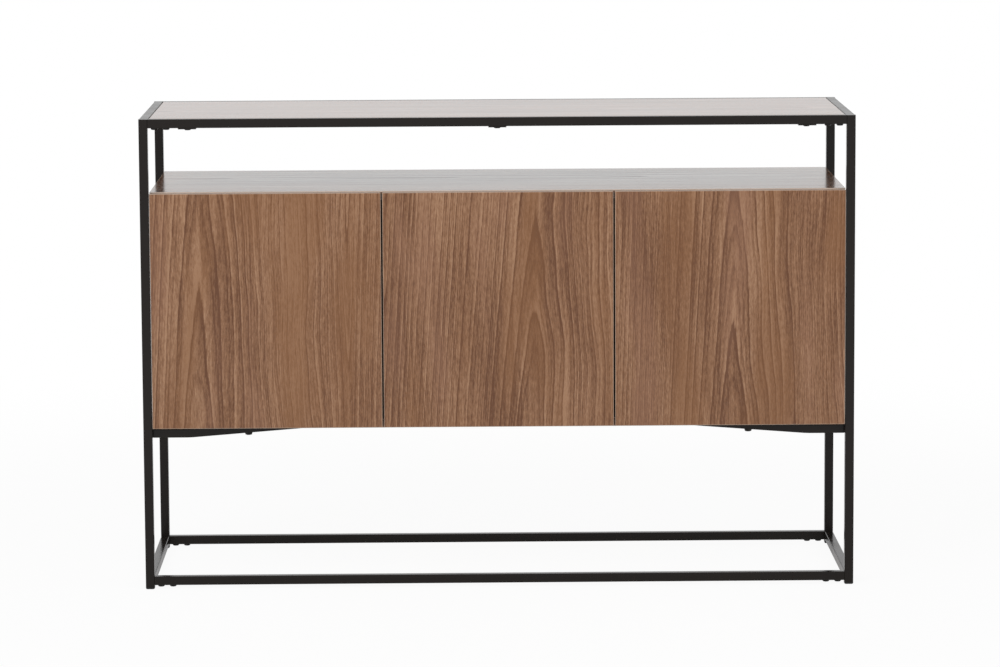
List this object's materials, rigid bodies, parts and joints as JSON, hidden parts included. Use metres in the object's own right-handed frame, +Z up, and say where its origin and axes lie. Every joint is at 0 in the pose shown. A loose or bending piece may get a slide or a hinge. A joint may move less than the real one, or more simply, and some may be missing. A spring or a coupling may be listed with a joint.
{
  "type": "sideboard",
  "caption": "Low sideboard: square-tube metal frame with an inset wooden top panel, carrying a hung wooden cabinet with hinged doors, open above and below.",
  "frame": {"origin": "on the floor under the middle of the sideboard", "axes": "+X to the right along the length, +Y from the doors to the back, +Z up"},
  "size_m": [1.2, 0.4, 0.798],
  "materials": {
    "black_steel": "satin black powder coat",
    "black_screws": "black zinc",
    "foot_plastic": "matt black",
    "walnut_board": "satin walnut decor",
    "walnut_door": "satin walnut decor, grain upright",
    "back_board": "printed hardboard",
    "bright_steel": "nickel plated",
    "latch_grey": "grey plastic with a magnet tip",
    "latch_white": "light grey plastic"
  },
  "bodies": {
    "frame": {"leg_front_left": "black_steel", "leg_front_right": "black_steel", "leg_rear_left": "black_steel", "leg_rear_right": "black_steel", "top_rail_front": "black_steel", "top_rail_rear": "black_steel", "top_rail_left": "black_steel", "top_rail_right": "black_steel", "bottom_rail_front": "black_steel", "bottom_rail_rear": "black_steel", "bottom_rail_left": "black_steel", "bottom_rail_right": "black_steel", "middle_rail_left": "black_steel", "middle_rail_right": "black_steel", "wing_left": "black_steel", "wing_right": "black_steel", "rail_stubs": "black_steel", "rail_screws": "black_screws", "tab_screws": "black_screws", "wing_screws": "black_screws", "panel_tabs": "black_steel", "foot_caps": "foot_plastic", "top_panel": "walnut_board", "cabinet_top": "walnut_board", "cabinet_bottom": "walnut_board", "cabinet_side_left": "walnut_board", "cabinet_side_right": "walnut_board", "divider_left": "walnut_board", "divider_right": "walnut_board", "shelf_left": "walnut_board", "shelf_centre": "walnut_board", "shelf_right": "walnut_board", "cabinet_back": "back_board", "shelf_pins": "bright_steel", "cam_discs": "bright_steel", "cam_bolts": "bright_steel", "hinge_arms": "bright_steel", "hinge_plates_outer": "bright_steel", "hinge_plates_centre": "bright_steel", "plate_screws": "bright_steel", "latch_bodies": "latch_white"},
    "door_left": {"door_left": "walnut_door", "hinge_cups_left": "bright_steel", "cup_screws_left": "bright_steel", "strike_plate_left": "bright_steel"},
    "link_left": {"hinge_links_left": "bright_steel"},
    "plunger_left": {"latch_plunger_left": "latch_grey"},
    "door_centre": {"door_centre": "walnut_door", "hinge_cups_centre": "bright_steel", "cup_screws_centre": "bright_steel", "strike_plate_centre": "bright_steel"},
    "link_centre": {"hinge_links_centre": "bright_steel"},
    "plunger_centre": {"latch_plunger_centre": "latch_grey"},
    "door_right": {"door_right": "walnut_door", "hinge_cups_right": "bright_steel", "cup_screws_right": "bright_steel", "strike_plate_right": "bright_steel"},
    "link_right": {"hinge_links_right": "bright_steel"},
    "plunger_right": {"latch_plunger_right": "latch_grey"}
  },
  "joints": [
    {"name": "door_left_swing", "type": "hinge", "parent": "frame", "child": "door_left", "pos_m": [-0.5775, -0.1985, 0.473], "axis": [0, 0, -1], "range_deg": [0, 95]},
    {"name": "door_centre_swing", "type": "hinge", "parent": "frame", "child": "door_centre", "pos_m": [-0.18717, -0.1985, 0.473], "axis": [0, 0, -1], "range_deg": [0, 95]},
    {"name": "door_right_swing", "type": "hinge", "parent": "frame", "child": "door_right", "pos_m": [0.5775, -0.1985, 0.473], "axis": [0, 0, 1], "range_deg": [0, 95]},
    {"name": "link_left_swing", "type": "hinge", "parent": "frame", "child": "link_left", "pos_m": [-0.565, -0.1837, 0.473], "axis": [0, 0, -1], "range_deg": [0, 76]},
    {"name": "link_centre_swing", "type": "hinge", "parent": "frame", "child": "link_centre", "pos_m": [-0.17467, -0.1837, 0.473], "axis": [0, 0, -1], "range_deg": [0, 76]},
    {"name": "link_right_swing", "type": "hinge", "parent": "frame", "child": "link_right", "pos_m": [0.565, -0.1837, 0.473], "axis": [0, 0, 1], "range_deg": [0, 76]},
    {"name": "plunger_left_press", "type": "slide", "parent": "frame", "child": "plunger_left", "axis": [0, 1, 0], "range_m": [0, 0.003], "stiffness_N_per_m": 300, "springref_m": -0.002},
    {"name": "plunger_centre_press", "type": "slide", "parent": "frame", "child": "plunger_centre", "axis": [0, 1, 0], "range_m": [0, 0.003], "stiffness_N_per_m": 300, "springref_m": -0.002},
    {"name": "plunger_right_press", "type": "slide", "parent": "frame", "child": "plunger_right", "axis": [0, 1, 0], "range_m": [0, 0.003], "stiffness_N_per_m": 300, "springref_m": -0.002}
  ],
  "couplings": [
    {"joint": "link_left_swing", "follows": "door_left_swing", "ratio": 0.78947},
    {"joint": "link_centre_swing", "follows": "door_centre_swing", "ratio": 0.78947},
    {"joint": "link_right_swing", "follows": "door_right_swing", "ratio": 0.78947}
  ]
}
